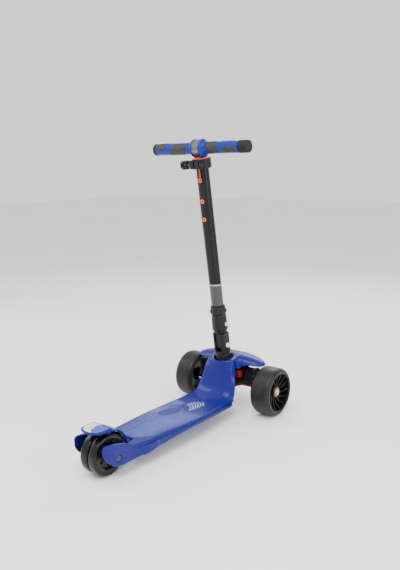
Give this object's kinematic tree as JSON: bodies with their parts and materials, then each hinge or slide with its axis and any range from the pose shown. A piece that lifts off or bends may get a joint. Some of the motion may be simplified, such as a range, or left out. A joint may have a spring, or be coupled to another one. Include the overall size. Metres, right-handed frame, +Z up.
{
  "type": "kick scooter",
  "caption": "Child's three-wheeled kick scooter that steers by leaning, with a folding stem, height-adjustable T-bar and a rear foot brake.",
  "frame": {"origin": "on the floor, under the middle of the overall box", "axes": "+X to the rider's right, +Y forward, +Z up"},
  "size_m": [0.292, 0.565, 0.6758],
  "materials": {
    "blue_plastic": "semi-gloss moulded",
    "blue_grip": "satin",
    "black_casting": "satin black",
    "red_metal": "satin red",
    "red_elastomer": "matt",
    "zinc_steel": "zinc plated",
    "chrome_steel": "polished",
    "black_tube": "satin powder coat",
    "black_plastic": "satin",
    "orange_plastic": "satin",
    "grey_label": "printed film",
    "black_rubber": "matt",
    "front_tyre": "matt polyurethane",
    "rear_tyre": "glossy polyurethane",
    "hub_plastic": "moulded nylon",
    "bronze_bush": "plain",
    "silver_tread": "satin"
  },
  "bodies": {
    "deck": {"deck_top_shell": "blue_plastic", "deck_bottom_shell": "blue_plastic", "front_beam": "black_casting", "lower_arms": "red_metal", "lean_cushions": "red_elastomer", "lean_bolt": "zinc_steel", "beam_bolts": "zinc_steel", "kingpins": "zinc_steel", "rear_axle_bolt": "zinc_steel", "rear_axle_nut_and_washers": "zinc_steel", "brake_hinge_pin": "zinc_steel"},
    "steering_fork": {"steering_fork": "black_casting", "lean_bushes": "bronze_bush", "fold_pin": "chrome_steel", "fold_nut": "zinc_steel"},
    "tie_rod": {"tie_rod": "black_casting"},
    "stem": {"stem_tongue": "black_casting", "outer_tube": "black_tube", "tube_liner": "orange_plastic", "stem_label": "grey_label", "lock_spring": "zinc_steel", "clamp_collar": "black_tube", "clamp_bolt": "zinc_steel", "clamp_nut_and_washer": "zinc_steel", "lever_pin": "zinc_steel"},
    "lock_sleeve": {"lock_sleeve": "black_plastic", "finger_collar": "black_plastic", "sleeve_rivet": "chrome_steel"},
    "clamp_lever": {"clamp_lever": "black_tube"},
    "handlebar": {"inner_tube": "chrome_steel", "bar_joint": "chrome_steel", "crossbar": "chrome_steel", "grip_right": "blue_grip", "grip_left": "blue_grip", "bar_end_caps": "black_rubber", "grip_pads": "black_rubber", "button_spring": "zinc_steel"},
    "height_button": {"height_button": "zinc_steel"},
    "brake": {"brake_pedal": "blue_plastic", "brake_tread": "silver_tread", "brake_shoe": "zinc_steel", "brake_rivet": "chrome_steel"},
    "knuckle_right": {"knuckle_right": "black_casting", "front_axle_bolt_right": "chrome_steel"},
    "front_wheel_right": {"front_tyre_right": "front_tyre", "front_hub_right": "hub_plastic", "hub_ring_right": "red_metal", "front_bearings_right": "zinc_steel"},
    "rear_wheel_right": {"rear_tyre_right": "rear_tyre", "rear_hub_right": "hub_plastic", "rear_bearings_right": "zinc_steel"},
    "knuckle_left": {"knuckle_left": "black_casting", "front_axle_bolt_left": "chrome_steel"},
    "front_wheel_left": {"front_tyre_left": "front_tyre", "front_hub_left": "hub_plastic", "hub_ring_left": "red_metal", "front_bearings_left": "zinc_steel"},
    "rear_wheel_left": {"rear_tyre_left": "rear_tyre", "rear_hub_left": "hub_plastic", "rear_bearings_left": "zinc_steel"}
  },
  "joints": [
    {"name": "stem_lean", "type": "hinge", "parent": "deck", "child": "steering_fork", "pos_m": [0, 0.1915, 0.108], "axis": [0, 1, 0], "range_deg": [-10, 10], "stiffness_Nm_per_rad": 30, "deforming": ["lean_cushions"]},
    {"name": "tie_rod_slide", "type": "slide", "parent": "deck", "child": "tie_rod", "axis": [1, 0, 0], "range_m": [-0.0057, 0.0057]},
    {"name": "stem_fold", "type": "hinge", "parent": "steering_fork", "child": "stem", "pos_m": [0, 0.18154, 0.17085], "axis": [1, 0, 0], "range_deg": [0, 82]},
    {"name": "sleeve_slide", "type": "slide", "parent": "stem", "child": "lock_sleeve", "axis": [0, -0.1573, 0.9876], "range_m": [0, 0.013], "stiffness_N_per_m": 500, "springref_m": -0.006, "deforming": ["lock_spring"]},
    {"name": "clamp_lever_turn", "type": "hinge", "parent": "stem", "child": "clamp_lever", "pos_m": [-0.0295, 0.08611, 0.6174], "axis": [0, -0.1573, 0.9876], "range_deg": [0, 110]},
    {"name": "handlebar_height", "type": "slide", "parent": "stem", "child": "handlebar", "axis": [0, -0.1573, 0.9876], "range_m": [0, 0.092]},
    {"name": "height_button_press", "type": "slide", "parent": "handlebar", "child": "height_button", "axis": [0, 0.9876, 0.1573], "range_m": [0, 0.003], "stiffness_N_per_m": 400, "springref_m": -0.002, "deforming": ["button_spring"]},
    {"name": "brake_press", "type": "hinge", "parent": "deck", "child": "brake", "pos_m": [0, -0.1825, 0.05], "axis": [1, 0, 0], "range_deg": [0, 2.5], "stiffness_Nm_per_rad": 8, "springref_deg": -8.59},
    {"name": "steer_right", "type": "hinge", "parent": "deck", "child": "knuckle_right", "pos_m": [0.08, 0.2225, 0.074], "axis": [0, 0, 1], "range_deg": [-15, 15]},
    {"name": "front_wheel_spin_right", "type": "hinge", "parent": "knuckle_right", "child": "front_wheel_right", "pos_m": [0.119, 0.2225, 0.06], "axis": [1, 0, 0], "continuous": true},
    {"name": "rear_wheel_spin_right", "type": "hinge", "parent": "deck", "child": "rear_wheel_right", "pos_m": [0.0116, -0.2385, 0.044], "axis": [1, 0, 0], "continuous": true},
    {"name": "steer_left", "type": "hinge", "parent": "deck", "child": "knuckle_left", "pos_m": [-0.08, 0.2225, 0.074], "axis": [0, 0, 1], "range_deg": [-15, 15]},
    {"name": "front_wheel_spin_left", "type": "hinge", "parent": "knuckle_left", "child": "front_wheel_left", "pos_m": [-0.119, 0.2225, 0.06], "axis": [1, 0, 0], "continuous": true},
    {"name": "rear_wheel_spin_left", "type": "hinge", "parent": "deck", "child": "rear_wheel_left", "pos_m": [-0.0116, -0.2385, 0.044], "axis": [1, 0, 0], "continuous": true}
  ],
  "couplings": [
    {"joint": "tie_rod_slide", "follows": "stem_lean", "m_per_rad": -0.032},
    {"joint": "steer_right", "follows": "stem_lean", "ratio": -1.4545},
    {"joint": "steer_left", "follows": "stem_lean", "ratio": -1.4545}
  ]
}
